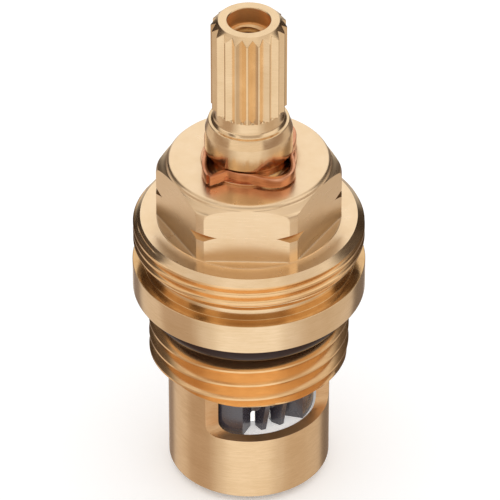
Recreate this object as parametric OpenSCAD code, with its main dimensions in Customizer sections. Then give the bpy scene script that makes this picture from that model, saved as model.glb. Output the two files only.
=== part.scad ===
// Quarter-turn shut-off valve cartridge, in millimetres.
// It stands on its seat seal with the spindle's axis on Z, the front is at -Y,
// and it is drawn open: the comb of the moving disc faces the windows.

/* [Seat seal and support ring] */
// Height that the seat seal stands below the foot of the skirt
seal_proud = 0.6; // [0.3:0.1:1]
// Height of the seat seal, from the tap's seat to the fixed disc
seal_h = 4.2; // [3.8:0.1:4.6]
// Diameter of the seat seal's lower lip inside
seal_lip_d = 10; // [9.6:0.1:11]
// Height of the seat seal's lower lip
seal_lip_h = 1; // [0.6:0.1:1.6]
// Inner diameter of the support ring, which is the water way
port_d = 9.4; // [9:0.1:9.6]
// Wall of the support ring
support_wall = 0.8; // [0.5:0.1:1]

/* [Ceramic discs] */
// Thickness of the fixed disc
fixed_disc_t = 3.6; // [3:0.1:4]
// Radial gap round the fixed disc in its pocket
fixed_disc_gap = 0.15; // [0.1:0.01:0.3]
// Width of the two keys that hold the fixed disc
key_w = 3; // [2:0.1:4]
// Distance that a key stands out of the fixed disc
key_out = 0.45; // [0.3:0.05:0.5]
// Thickness of the moving disc
moving_disc_t = 4.1; // [3.6:0.1:4.6]
// Radial gap round the moving disc in its pocket
moving_disc_gap = 0.45; // [0.3:0.05:0.6]
// Outer radius of the water openings in both discs
opening_r = 4.35; // [3.8:0.05:4.5]
// Inner radius of the water openings in both discs
opening_in_r = 1.7; // [1.2:0.1:2.2]
// Angle that each water opening takes
opening_deg = 64; // [50:1:76]
// Height of the hollow under the moving disc
hollow_h = 1.7; // [1.2:0.1:2]
// Angle of the comb's recess at the disc's rim
comb_deg = 61; // [50:1:70]
// Radius of the notches between the comb's teeth
comb_root_r = 4.7; // [4.6:0.05:5]
// Radius of the comb's tooth tips
comb_tip_r = 6; // [5.4:0.05:6.3]
// Width of the flat at a tooth's tip
comb_tip_w = 0.5; // [0.3:0.05:0.8]
// Number of teeth on each comb
comb_teeth = 2; // [1:1:3]
// Angle that the comb's teeth lean to the right as they rise
comb_lean_deg = 9; // [0:1:12]
// Height of the deep notches, below the web that joins the teeth
comb_notch_h = 2.1; // [1.8:0.1:3]
// Radius of the web that joins the teeth
comb_web_r = 5.3; // [5:0.05:5.8]
// Width of the water slot at the foot of each notch
comb_slot_w = 0.5; // [0.4:0.05:0.8]

/* [Skirt and windows] */
// Outer diameter of the skirt
skirt_od = 17; // [16.6:0.1:18]
// Height of the skirt below the lower thread
skirt_h = 13.9; // [13.6:0.1:15]
// Diameter of the pocket bored up through the skirt for the discs
pocket_d = 14.6; // [14.2:0.1:14.8]
// Distance from the axis to the flats that open the two windows
window_flat = 4.58; // [4.4:0.02:5.6]
// Height of the window sill above the foot of the skirt
sill_h = 7.75; // [7.4:0.05:8]
// Height of the windows
window_h = 4.9; // [4.4:0.1:5.2]
// Radius that the cutter leaves between a window's flat and its sill
window_corner_r = 1.2; // [0.6:0.1:2]
// Angle that the windows are turned from the front towards the right
window_turn = 25; // [0:1:60]
// Edge break at the foot of the skirt
skirt_break = 0.35; // [0.1:0.05:0.5]

/* [Lower thread, for the tap body] */
// Outer diameter of the lower thread, G 1/2
lower_thread_od = 20.955; // [20.5:0.005:21.5]
// Pitch of the lower thread
lower_pitch = 1.814; // [1.5:0.001:2]
// Depth of the lower thread
lower_thread_depth = 1.162; // [0.8:0.001:1.3]
// Number of turns of the lower thread
lower_turns = 3; // [2:1:5]

/* [Body O-ring and band] */
// Cord of the body O-ring
body_ring_cord = 2.8; // [2.2:0.1:2.8]
// Outer diameter of the body O-ring in its groove
body_ring_od = 21.3; // [20:0.1:21.4]
// Height of the body O-ring's groove
body_groove_h = 3; // [2.9:0.1:3.6]
// Outer diameter of the band
band_od = 24.2; // [23.6:0.1:25]
// Height of the band
band_h = 3.4; // [2.8:0.1:4]
// Diameter of the relief between the band and the upper thread
relief_d = 21.9; // [21:0.1:22.4]
// Height of the relief's straight wall
relief_h = 1.3; // [1:0.1:2]
// Height of the cone from the relief's wall out to the upper thread
relief_cone_h = 1.4; // [1:0.1:2]

/* [Upper thread, for the cover sleeve] */
// Outer diameter of the upper thread, M24 x 1
upper_thread_od = 24; // [23.4:0.1:25]
// Pitch of the upper thread
upper_pitch = 1; // [0.75:0.05:1.25]
// Depth of the upper thread
upper_thread_depth = 0.45; // [0.4:0.01:0.7]
// Share of the pitch that stays flat at the upper thread's blunt crests
upper_crest_share = 0.34; // [0.12:0.02:0.4]
// Number of grooves of the upper thread
upper_turns = 2; // [2:1:6]
// Edge break above the upper thread, across
flange_break = 0.75; // [0.4:0.05:1]
// Edge break above the upper thread, in height
flange_break_h = 0.55; // [0.4:0.05:1]

/* [Hexagon] */
// Size across the hexagon's flats
hex_af = 17; // [16:0.1:18]
// Diameter over the hexagon's rounded corners
hex_corner_d = 19.12; // [18.9:0.01:19.3]
// Height of the hexagon above the flange
hex_h = 7.1; // [6:0.1:9]
// Height of the ledge that the milled flats leave on the flange
hex_ledge_h = 0.15; // [0.1:0.05:0.4]
// Diameter of the hexagon's top face
hex_top_d = 16.6; // [15.4:0.1:16.8]
// Height of the chamfer over the middle of the hexagon's flats
hex_edge_h = 0.54; // [0.3:0.02:0.8]
// Diameter at the foot of the hexagon's flat chamfer
hex_chamfer_d = 18.8; // [18:0.1:18.8]
// Height of the chamfer down to its foot
hex_chamfer_h = 1.06; // [0.9:0.02:1.4]
// Height of the hexagon's top edge with the steep break at its corners
hex_break_h = 1.9; // [1.5:0.1:2.4]
// Height of the turned corner marks above the flange
corner_mark_z = 3.1; // [2:0.1:4.5]
// Width of the turned corner marks
corner_mark_w = 0.9; // [0.6:0.05:1.2]
// Depth of the turned corner marks
corner_mark_depth = 0.52; // [0.2:0.02:0.56]
// Angle by which the hexagon is turned
hex_turn = -1.5; // [-30:0.5:30]

/* [Spindle] */
// Diameter of the spindle in the head body
shaft_d = 9; // [8.8:0.1:9.4]
// Radial running gap of the spindle in the head body
shaft_gap = 0.03; // [0.02:0.01:0.08]
// Diameter of the flange at the foot of the spindle
foot_d = 12.8; // [12.4:0.1:13]
// Thickness of the spindle's foot flange
foot_t = 3; // [2:0.1:4]
// Gap between the moving disc and the spindle's foot flange
foot_gap = 1.2; // [1:0.1:1.6]
// Radial gap round the foot flange in its chamber
foot_side_gap = 0.2; // [0.1:0.05:0.4]
// Angle of the stop lug on the foot flange
lug_deg = 50; // [30:1:70]
// Angle that the spindle turns between its stops
turn_deg = 90; // [80:1:100]
// Angle left between the lug and each stop
stop_play_deg = 1; // [0.5:0.1:2]
// Width of the driving tongue
tongue_w = 4; // [3.5:0.1:4.5]
// Depth that the driving tongue enters the moving disc
tongue_depth = 1.4; // [1:0.1:1.7]
// Play of the driving tongue in its slot
tongue_gap = 0.1; // [0.05:0.01:0.15]
// Thickness of the slide washer above the foot flange
slide_washer_t = 0.8; // [0.5:0.1:1.2]

/* [Spindle O-rings] */
// Cord of the two spindle O-rings
spindle_ring_cord = 1.5; // [1.2:0.1:1.8]
// Height of their grooves
spindle_groove_h = 1.8; // [1.8:0.1:2.4]
// Distance from the slide washer up to the middle of the lower groove
lower_ring_up = 6; // [4:0.5:7]
// Distance between the middles of the two grooves
ring_spacing = 5.5; // [4:0.5:7]

/* [Snap clip and its washer] */
// Thickness of the washer under the clip
clip_washer_t = 0.2; // [0.1:0.05:0.3]
// Outer diameter of the washer under the clip
clip_washer_od = 9.9; // [9.7:0.1:11]
// Diameter of the clip's groove in the spindle
clip_groove_d = 8; // [7.6:0.1:8.2]
// Height of the clip's groove
clip_groove_h = 1.25; // [1.2:0.05:1.8]
// Height of the clip's flat strip
clip_h = 1.15; // [1:0.05:1.15]
// Thickness of the clip's flat strip
clip_t = 0.45; // [0.3:0.05:0.5]
// Distance that the clip's two front lobes stand out from the groove
clip_lobe = 2.05; // [1.2:0.05:2.2]
// Distance that the clip's two back lobes stand out from the groove
clip_back_lobe = 1.6; // [1.2:0.05:2.2]
// Angle of the gap between the clip's two ends
clip_gap_deg = 3; // [3:1:12]

/* [Collar and splined end] */
// Height of the collar above the clip's groove, up to its edge break
collar_h = 2.55; // [1.5:0.05:3]
// Height of the collar's steep edge break
collar_break_h = 1.05; // [0.6:0.05:1.3]
// Diameter of the collar's rim
collar_rim_d = 8.32; // [8.2:0.02:8.6]
// Height from the collar's rim down the flare to the neck
flare_h = 0.6; // [0.4:0.05:0.9]
// Diameter of the neck below the spline
neck_d = 7.56; // [7:0.02:7.6]
// Height of the neck
neck_h = 1.15; // [0.6:0.05:2]
// Diameter over the spline
spline_d = 7.75; // [7.6:0.01:8]
// Diameter at the bottom of the spline's grooves
spline_root_d = 6.9; // [6.6:0.02:7.1]
// Number of splines
spline_teeth = 20; // [16:1:24]
// Distance that the crests' flats take off the spline's sharp teeth
spline_crest_cut = 0.12; // [0.06:0.02:0.3]
// Height of the spline, with its top edge break
spline_h = 10.4; // [8:0.1:14]
// Edge break at the top of the spline
spline_break = 0.72; // [0.4:0.02:0.8]
// Diameter of the hole's wide mouth
mouth_d = 4.4; // [4.2:0.1:4.8]
// Depth of the hole's wide mouth
mouth_depth = 1.9; // [1:0.1:4]
// Core diameter of the handle screw's thread, M4
screw_core_d = 3.3; // [3.2:0.05:3.4]
// Depth of the handle screw's thread below the mouth
screw_depth = 8; // [6:0.5:10]

/* [Hidden] */

// Gap that keeps two soft or curved faces just apart
hair = 0.02;
// Distance that a cutting tool runs past a face
past = 1;
// Share of the pitch that stays flat at the lower thread's crests
lower_crest_share = 0.12;
// Share of the pitch that is flat at a thread's root
root_share = 0.16;
// Facets of a full circle when it is drawn on screen
$fn = 96;

// Heights of the inner stack, from the tap's seat up
fixed_disc_top = seal_h + fixed_disc_t;
moving_disc_top = fixed_disc_top + moving_disc_t;
foot_z = moving_disc_top + foot_gap;
foot_top = foot_z + foot_t;
shoulder_z = foot_top + slide_washer_t;
lower_ring_z = shoulder_z + lower_ring_up;
upper_ring_z = lower_ring_z + ring_spacing;

// Heights of the head body, from the foot of the skirt up
skirt_z = seal_proud;
sill_z = skirt_z + sill_h;
lower_thread_z = skirt_z + skirt_h;
lower_thread_top = lower_thread_z + lower_turns * lower_pitch;
band_z = lower_thread_top + body_groove_h;
band_top = band_z + band_h;
upper_thread_z = band_top + relief_h + relief_cone_h;
upper_groove_z = upper_thread_z + upper_pitch / 4;
flange_z = upper_groove_z + upper_turns * upper_pitch + flange_break_h;
hex_foot_z = flange_z + hex_ledge_h;
nut_top = flange_z + hex_h;

// Heights of the spindle's upper end
clip_z = nut_top + clip_washer_t;
collar_z = clip_z + clip_groove_h;
collar_rim_z = collar_z + collar_h + collar_break_h;
neck_z = collar_rim_z + flare_h;
spline_z = neck_z + neck_h;
spindle_top = spline_z + spline_h;

// Radii of the fits, each from the piece that it fits in or on
pocket_r = pocket_d / 2;
fixed_disc_r = pocket_r - fixed_disc_gap;
moving_disc_r = pocket_r - moving_disc_gap;
foot_r = foot_d / 2;
chamber_r = foot_r + foot_side_gap;
chamber_z = moving_disc_top + foot_gap / 2;
lug_r = pocket_r - foot_side_gap;
stop_slot_r = lug_r + foot_side_gap / 2;
shaft_r = shaft_d / 2;
shaft_bore_r = shaft_r + shaft_gap;
body_ring_r = (body_ring_od - body_ring_cord) / 2;
body_groove_r = body_ring_r - body_ring_cord / 2 - hair;
support_r = port_d / 2 + support_wall;
window_side = window_turn + 90;
stop_slot_deg = turn_deg + lug_deg + 2 * stop_play_deg;
clip_start = -46;

// Angles of the clip's touching points and lobes, going round from the front towards the right
clip_touch_deg = [-10, 82, 178, 278, 350];
clip_lobe_deg = [41, 142, 208, 320];
clip_lobe_out = [clip_lobe, clip_back_lobe, clip_back_lobe, clip_lobe];

// A point at a radius and an angle, where the angle turns from the front towards the right
function polar(r, deg) = [r * sin(deg), -r * cos(deg)];

// Profile of a V thread's groove at the side of a turned part: outer edge, root flat, outer edge
function groove(r, z, pitch, depth, crest_share) = [[r, z + crest_share / 2 * pitch],
    [r - depth, z + (1 - root_share) / 2 * pitch], [r - depth, z + (1 + root_share) / 2 * pitch],
    [r, z + (1 - crest_share / 2) * pitch]];

// Outer profile of the head body from its foot up to the flange, as radius and height
function body_profile() = concat(
    [[0, skirt_z], [skirt_od / 2 - skirt_break, skirt_z], [skirt_od / 2, skirt_z + skirt_break],
        [skirt_od / 2, lower_thread_z], [lower_thread_od / 2 - lower_thread_depth, lower_thread_z]],
    [for (i = [0:lower_turns - 1], p = groove(lower_thread_od / 2,
        lower_thread_z + i * lower_pitch, lower_pitch, lower_thread_depth, lower_crest_share)) p],
    [[lower_thread_od / 2, lower_thread_top], [body_groove_r, lower_thread_top],
        [body_groove_r, band_z], [band_od / 2, band_z], [band_od / 2, band_top],
        [relief_d / 2, band_top], [relief_d / 2, band_top + relief_h],
        [upper_thread_od / 2, upper_thread_z]],
    [for (i = [0:upper_turns - 1], p = groove(upper_thread_od / 2,
        upper_groove_z + i * upper_pitch, upper_pitch, upper_thread_depth, upper_crest_share)) p],
    [[upper_thread_od / 2, flange_z - flange_break_h],
        [upper_thread_od / 2 - flange_break, flange_z], [0, flange_z]]);

// Profile that the hexagon is turned to: corners, chamfer and top face
function hex_profile() = [[0, hex_foot_z], [hex_corner_d / 2, hex_foot_z],
    [hex_corner_d / 2, nut_top - hex_break_h], [hex_chamfer_d / 2, nut_top - hex_chamfer_h],
    [hex_af / 2, nut_top - hex_edge_h],
    [hex_top_d / 2, nut_top], [0, nut_top]];

// Section of a ring cord that is squeezed to fill its groove, as radius and height
module cord_section(r_in, r_out, z, cord) {
    half = (r_out - r_in) / 2;
    rise = cord - (r_out - r_in);
    translate([(r_in + r_out) / 2, z]) {
        translate([0, rise / 2]) circle(r = half);
        translate([0, -rise / 2]) circle(r = half);
        translate([-half, -rise / 2]) square([2 * half, rise]);
    }
}

// A flat ring
module ring(r_in, r_out, h) {
    difference() {
        cylinder(r = r_out, h = h);
        translate([0, 0, -past]) cylinder(r = r_in, h = h + 2 * past);
    }
}

// A sector of a ring, middle at an angle from the front towards the right
module sector(r_in, r_out, z, h, mid, wide) {
    translate([0, 0, z]) rotate([0, 0, mid - 90 - wide / 2])
        rotate_extrude(angle = wide) translate([r_in, 0]) square([r_out - r_in, h]);
}

// The two flats that a cutter mills across the skirt, each of which breaks into the pocket
module window_cuts() {
    edge = window_flat + window_corner_r;
    for (turn = [0, 180]) rotate([0, 0, window_turn + turn]) rotate([0, -90, 0])
        translate([0, 0, -skirt_od / 2]) linear_extrude(height = skirt_od) {
            translate([sill_z, -skirt_od]) square([window_h, skirt_od - edge]);
            translate([sill_z + window_corner_r, -edge])
                square([window_h - window_corner_r, window_corner_r]);
            translate([sill_z + window_corner_r, -edge]) circle(r = window_corner_r);
        }
}

// The fixed disc's two keys, or the two keyways for them that are broached up the skirt
module key_pair(wide, r, z, h) {
    for (turn = [0, 180]) rotate([0, 0, window_side + turn]) translate([-wide / 2, -r, z])
        cube([wide, r - opening_r, h]);
}

module hexagon() {
    difference() {
        intersection() {
            rotate_extrude() polygon(hex_profile());
            rotate([0, 0, hex_turn]) translate([0, 0, hex_foot_z])
                cylinder(r = hex_af / 2 / cos(30), h = hex_h, $fn = 6);
        }
        rotate_extrude() polygon([
            [hex_corner_d / 2 - corner_mark_depth, flange_z + corner_mark_z],
            [hex_corner_d / 2 + past, flange_z + corner_mark_z
                + corner_mark_w / 2 * (1 + past / corner_mark_depth)],
            [hex_corner_d / 2 + past, flange_z + corner_mark_z
                - corner_mark_w / 2 * (1 + past / corner_mark_depth)]]);
    }
}

module head_body() {
    color("#d9b27c") difference() {
        union() {
            rotate_extrude() polygon(body_profile());
            translate([0, 0, flange_z]) cylinder(d = hex_corner_d, h = hex_ledge_h);
            hexagon();
        }
        cylinder(r = pocket_r, h = chamber_z);
        cylinder(r = chamber_r, h = shoulder_z);
        cylinder(r = shaft_bore_r, h = nut_top + past);
        sector(foot_r, stop_slot_r, chamber_z - past, shoulder_z - chamber_z + past,
            window_side - turn_deg / 2, stop_slot_deg);
        key_pair(key_w + 2 * fixed_disc_gap, fixed_disc_r + key_out + fixed_disc_gap,
            0, fixed_disc_top + fixed_disc_gap);
        window_cuts();
    }
}

module body_o_ring() {
    color("#3b2721") rotate_extrude() translate([body_ring_r, band_z - body_groove_h / 2])
        circle(d = body_ring_cord);
}

module seat_seal() {
    color("#2f2d2e") difference() {
        cylinder(r = pocket_r - hair, h = seal_h);
        translate([0, 0, -past]) cylinder(d = seal_lip_d, h = seal_h + 2 * past);
        translate([0, 0, seal_lip_h]) cylinder(r = support_r, h = seal_h);
    }
}

module support_ring() {
    color("#c9a468") translate([0, 0, seal_lip_h])
        ring(port_d / 2, support_r - hair, seal_h - seal_lip_h - hair);
}

module fixed_disc() {
    color("#f4f2ee") difference() {
        union() {
            translate([0, 0, seal_h]) cylinder(r = fixed_disc_r, h = fixed_disc_t);
            key_pair(key_w, fixed_disc_r + key_out, seal_h, fixed_disc_t);
        }
        for (turn = [0, 180]) sector(opening_in_r, opening_r, seal_h - past,
            fixed_disc_t + 2 * past, window_turn + turn, opening_deg);
    }
}

// Angle of the middle of a notch or, with a half, of a tooth
function comb_at(i) = window_turn + (i - comb_teeth / 2) * comb_deg / (comb_teeth + 1);

// One tooth of the comb, turned about its own radius so that it leans
module comb_tooth(i) {
    half_deg = comb_deg / (comb_teeth + 1) / 2;
    rotate([0, 0, comb_at(i + 0.5)]) rotate([0, comb_lean_deg, 0]) translate([0, 0, -2 * past])
        linear_extrude(height = moving_disc_t + 4 * past) polygon([
            polar(opening_in_r, 0), polar(comb_root_r, -half_deg), [-comb_tip_w / 2, -comb_tip_r],
            [comb_tip_w / 2, -comb_tip_r], polar(comb_root_r, half_deg)]);
}

// One recess at the moving disc's rim, with the comb's teeth left standing in it
module comb_recess() {
    translate([0, 0, fixed_disc_top]) difference() {
        translate([0, 0, -past]) linear_extrude(height = moving_disc_t + 2 * past) polygon(concat(
            [polar(pocket_d, window_turn - comb_deg / 2),
                polar(moving_disc_r, window_turn - comb_deg / 2)],
            [for (i = [0:comb_teeth]) polar(comb_root_r, comb_at(i))],
            [polar(moving_disc_r, window_turn + comb_deg / 2),
                polar(pocket_d, window_turn + comb_deg / 2)]));
        translate([0, 0, comb_notch_h]) cylinder(r = comb_web_r, h = moving_disc_t + past);
        for (i = [0:comb_teeth - 1]) comb_tooth(i);
    }
}

module moving_disc() {
    slot_h = tongue_depth + tongue_gap;
    color("#5c5a5e") difference() {
        translate([0, 0, fixed_disc_top]) cylinder(r = moving_disc_r, h = moving_disc_t);
        for (turn = [0, 180]) rotate([0, 0, turn]) {
            comb_recess();
            sector(opening_in_r, opening_r, fixed_disc_top - past, hollow_h + past,
                window_turn, opening_deg);
            for (i = [0:comb_teeth]) rotate([0, 0, comb_at(i)])
                translate([-comb_slot_w / 2, -comb_root_r - past / 2, fixed_disc_top - past])
                    cube([comb_slot_w, comb_root_r - opening_in_r - past / 2, hollow_h + past]);
        }
        rotate([0, 0, window_side]) translate([-tongue_w / 2 - tongue_gap, -pocket_r,
            moving_disc_top - slot_h]) cube([tongue_w + 2 * tongue_gap, pocket_d, slot_h + past]);
    }
}

module slide_washer() {
    color("#e9e6dc") translate([0, 0, foot_top])
        ring(shaft_r + shaft_gap, foot_r, slide_washer_t);
}

// Outline of the spline as a star with sharp teeth, later turned down to its outer diameter
function spline_star() = let(root = spline_root_d / 2, step = 360 / spline_teeth,
    tip = spline_d / 2 + spline_crest_cut)
    [for (i = [0:spline_teeth - 1]) each [polar(tip, i * step), polar(root, (i + 0.5) * step)]];

module spindle_groove(z, h, d) {
    translate([0, 0, z]) ring(d / 2, shaft_r + past, h);
}

module spindle() {
    color("#dcb681") difference() {
        union() {
            translate([0, 0, foot_z]) cylinder(r = foot_r, h = foot_t);
            sector(shaft_r, lug_r, foot_z, foot_t, window_side, lug_deg);
            rotate([0, 0, window_side]) intersection() {
                translate([0, 0, moving_disc_top - tongue_depth])
                    cylinder(r = foot_r, h = tongue_depth + foot_gap);
                translate([-tongue_w / 2, -pocket_r, moving_disc_top - tongue_depth])
                    cube([tongue_w, pocket_d, tongue_depth + foot_gap]);
            }
            translate([0, 0, foot_top]) cylinder(r = shaft_r, h = collar_z + collar_h - foot_top);
            translate([0, 0, collar_z + collar_h])
                cylinder(r1 = shaft_r, r2 = collar_rim_d / 2, h = collar_break_h);
            translate([0, 0, collar_rim_z])
                cylinder(r1 = collar_rim_d / 2, r2 = neck_d / 2, h = flare_h);
            translate([0, 0, neck_z]) cylinder(d = neck_d, h = neck_h);
            intersection() {
                translate([0, 0, spline_z]) linear_extrude(height = spline_h)
                    polygon(spline_star());
                union() {
                    translate([0, 0, spline_z]) cylinder(d = spline_d, h = spline_h - spline_break);
                    translate([0, 0, spindle_top - spline_break]) cylinder(d1 = spline_d,
                        d2 = spline_d - 2 * spline_break, h = spline_break);
                }
            }
        }
        spindle_groove(lower_ring_z - spindle_groove_h / 2, spindle_groove_h,
            shaft_d - 2 * spindle_ring_cord + 4 * hair);
        spindle_groove(upper_ring_z - spindle_groove_h / 2, spindle_groove_h,
            shaft_d - 2 * spindle_ring_cord + 4 * hair);
        spindle_groove(clip_z, clip_groove_h, clip_groove_d);
        translate([0, 0, spindle_top - mouth_depth]) cylinder(d = mouth_d, h = mouth_depth + past);
        translate([0, 0, spindle_top - mouth_depth - screw_depth])
            cylinder(d = screw_core_d, h = screw_depth + past);
    }
}

module spindle_o_ring(z) {
    color("#2f2d2e") rotate_extrude() cord_section(shaft_r - spindle_ring_cord + 3 * hair,
        shaft_r + hair / 2, z, spindle_ring_cord);
}

module spindle_o_ring_lower() {
    spindle_o_ring(lower_ring_z);
}

module spindle_o_ring_upper() {
    spindle_o_ring(upper_ring_z);
}

module clip_washer() {
    color("#d9a988") translate([0, 0, nut_top]) ring(shaft_r + shaft_gap, clip_washer_od / 2,
        clip_washer_t);
}

// How far out the clip stands at an angle: a smooth wave from a touching point to a lobe and back
function clip_out(deg) = let(a = deg < clip_touch_deg[0] ? deg + 360 : deg,
    passed = [for (k = [0:len(clip_lobe_deg) - 1]) if (a >= clip_touch_deg[k]) k],
    i = passed[len(passed) - 1],
    peak = clip_lobe_deg[i], low = clip_touch_deg[i], high = clip_touch_deg[i + 1])
    clip_lobe_out[i] * (a < peak ? (1 - cos(180 * (a - low) / (peak - low))) / 2
        : (1 + cos(180 * (a - peak) / (high - peak))) / 2);

module snap_clip() {
    steps = 96;
    from = clip_start + clip_gap_deg / 2;
    wide = 360 - clip_gap_deg;
    inner = clip_groove_d / 2 + hair;
    function at(i) = from + wide * i / steps;
    color("#a8653c") translate([0, 0, clip_z]) linear_extrude(height = clip_h) polygon(concat(
        [for (i = [0:steps]) polar(inner + clip_t + clip_out(at(i)), at(i))],
        [for (i = [steps:-1:0]) polar(inner + clip_out(at(i)), at(i))]));
}

head_body();
body_o_ring();
seat_seal();
support_ring();
fixed_disc();
moving_disc();
slide_washer();
spindle();
spindle_o_ring_lower();
spindle_o_ring_upper();
clip_washer();
snap_clip();
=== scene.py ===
import bmesh
import bpy
import numpy as np
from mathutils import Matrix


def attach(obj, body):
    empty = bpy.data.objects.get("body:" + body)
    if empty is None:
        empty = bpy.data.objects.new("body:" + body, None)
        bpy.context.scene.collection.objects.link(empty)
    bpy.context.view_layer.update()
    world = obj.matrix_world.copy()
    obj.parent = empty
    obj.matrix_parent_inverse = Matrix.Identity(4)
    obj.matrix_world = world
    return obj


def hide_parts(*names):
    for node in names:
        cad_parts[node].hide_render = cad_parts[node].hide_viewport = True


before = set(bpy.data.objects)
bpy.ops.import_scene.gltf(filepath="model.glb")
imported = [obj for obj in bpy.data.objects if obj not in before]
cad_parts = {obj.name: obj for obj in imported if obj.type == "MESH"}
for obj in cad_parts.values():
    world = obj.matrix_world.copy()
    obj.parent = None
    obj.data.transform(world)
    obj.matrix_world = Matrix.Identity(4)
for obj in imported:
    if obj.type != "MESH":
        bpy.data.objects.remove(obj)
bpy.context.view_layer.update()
mm = 0.001
print("frame loaded")

# The photograph's view: degrees above the horizon, and distance and aim in millimetres
view = dict(elevation=37.144, distance=571.045, lens=396.0, aimHeight=27.095, aside=0.115)


# Stands in front of the object at the view's elevation and looks at its axis.
def placeCamera():
    tilt = np.radians(view["elevation"])
    data = bpy.data.cameras.new("photoCamera")
    data.lens, data.sensor_width = view["lens"], 36.0
    data.clip_start, data.clip_end = 0.05, 20.0
    camera = bpy.data.objects.new("photoCamera", data)
    bpy.context.scene.collection.objects.link(camera)
    camera.location = (view["aside"] * mm, -view["distance"] * np.cos(tilt) * mm,
                       (view["aimHeight"] + view["distance"] * np.sin(tilt)) * mm)
    camera.rotation_euler = (np.pi / 2 - tilt, 0, 0)
    bpy.context.scene.camera = camera


placeCamera()
print("camera placed")


# A rounded copy of a polyline: at each inner corner the two sides are cut back by the same
# length, at most a share of the side, and joined by a quadratic curve that keeps the tangents.
def softened(points, cut, steps=5, most=0.45):
    points = np.array(points, float)
    share = np.linspace(0, 1, steps + 1)[:, None]
    out = [points[:1]]
    for before, corner, after in zip(points[:-2], points[1:-1], points[2:]):
        back, ahead = before - corner, after - corner
        length = min(cut, most * np.hypot(*back), most * np.hypot(*ahead))
        start = corner + back / np.hypot(*back) * length
        end = corner + ahead / np.hypot(*ahead) * length
        out.append((1 - share) ** 2 * start + 2 * share * (1 - share) * corner + share ** 2 * end)
    return np.vstack(out + [points[-1:]])


# Rows of one turned zone: every point of a profile, as a ring over all the columns.
def turnedRows(profile, columns):
    return [(np.full(columns, r), np.full(columns, z)) for r, z in profile]


# How deep a V thread stands at a phase: 0 on the crest, 1 at the root, with eased flanks.
def threadDepth(phase, crest, root, ease):
    away = np.abs(phase - np.round(phase))
    ramp = np.clip((away - crest / 2) / (0.5 - crest / 2 - root / 2), 0, 1)
    return (1 - ease) * ramp + ease * (0.5 - 0.5 * np.cos(np.pi * ramp))


# Rows of a helical thread between two heights: each row climbs one pitch a turn and is held
# between the ends.
def threadRows(azimuth, spec, low, high, reach, outside=True):
    turn = azimuth / (2 * np.pi)
    count = int(np.ceil((high - low) / spec["pitch"])) + 2
    rows = []
    for step in np.arange(-count * spec["perTurn"], (count + 1) * spec["perTurn"] + 1):
        level = spec["crestZ"] + spec["pitch"] * (turn + step / spec["perTurn"])
        z = np.clip(level, low, high)
        rows.append((threadRadius(azimuth, spec, z, reach, outside), z))
    return rows


# Radius of a thread at given heights: the crest less the groove's depth at that phase of the
# helix, or more for an inside thread, held within a turned profile.
def threadRadius(azimuth, spec, z, reach, outside=True):
    phase = (z - spec["crestZ"]) / spec["pitch"] - azimuth / (2 * np.pi)
    deep = threadDepth(phase, spec["crest"], spec["root"], spec["ease"])
    if "lastGroove" in spec:  # the top groove runs out before it goes all the way round
        away = np.clip((spec["runOut"][1] - azimuth) / (spec["runOut"][1] - spec["runOut"][0]), 0, 1)
        last = np.where(phase < spec["lastGroove"] + 1, away, 0)
        deep = deep * np.where(phase < spec["lastGroove"], 1, last)
    if outside:
        return np.minimum(spec["radius"] - spec["depth"] * deep, np.interp(z, *reach))
    return np.maximum(spec["radius"] + spec["depth"] * deep, np.interp(z, *reach))


# A mesh from rows of radius and height over azimuths that turn from the front to the right.
# The rows go up the outside, so the faces point outwards. Equal points are merged, which
# closes the seam, the poles and the threads' ends.
def turnedMesh(name, rows, azimuth, loop=True):
    if loop:
        rows = rows + rows[:1]
    r = np.array([row[0] for row in rows])
    z = np.array([row[1] for row in rows])
    points = np.stack([r * np.sin(azimuth), -r * np.cos(azimuth), z], -1)
    return gridMesh(name, points)


# A mesh from a grid of points in millimetres, with any extra faces, merged.
def gridMesh(name, points, caps=()):
    tall, wide = points.shape[:2]
    index = np.arange(tall * wide).reshape(tall, wide)
    faces = np.stack([index[:-1, :-1], index[:-1, 1:], index[1:, 1:], index[1:, :-1]], -1)
    mesh = bpy.data.meshes.new(name)
    mesh.from_pydata((points.reshape(-1, 3) * mm).tolist(), [],
                     faces.reshape(-1, 4).tolist() + [list(cap) for cap in caps])
    tidyMesh(mesh)
    return mesh


# Merges points that lie closer than a length in metres, turns the faces outwards where asked, and
# tells of any open edge.
def tidyMesh(mesh, outwards=False, apart=2e-7):
    work = bmesh.new()
    work.from_mesh(mesh)
    bmesh.ops.remove_doubles(work, verts=work.verts, dist=apart)
    if outwards:
        bmesh.ops.recalc_face_normals(work, faces=work.faces)
    opened = sum(not edge.is_manifold for edge in work.edges)
    if opened:
        print("  ", mesh.name, "has", opened, "open edges")
    work.to_mesh(mesh)
    work.free()


# Makes the object for a mesh, smooth except at edges sharper than an angle in degrees, and says
# which body it rides on and which node it stands for. The slot is not used.
def addPiece(name, mesh, material, body, node, slot, sharp=24.0):
    mesh.materials.clear()
    mesh.materials.append(material)
    mesh.polygons.foreach_set("use_smooth", np.ones(len(mesh.polygons), bool))
    mesh.set_sharp_from_angle(angle=np.radians(sharp))
    piece = bpy.data.objects.new(name, mesh)
    bpy.context.scene.collection.objects.link(piece)
    weighted = piece.modifiers.new("weightedNormals", "WEIGHTED_NORMAL")
    weighted.keep_sharp = True
    weighted.weight = 80
    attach(piece, body)
    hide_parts(node)
    return piece


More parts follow.
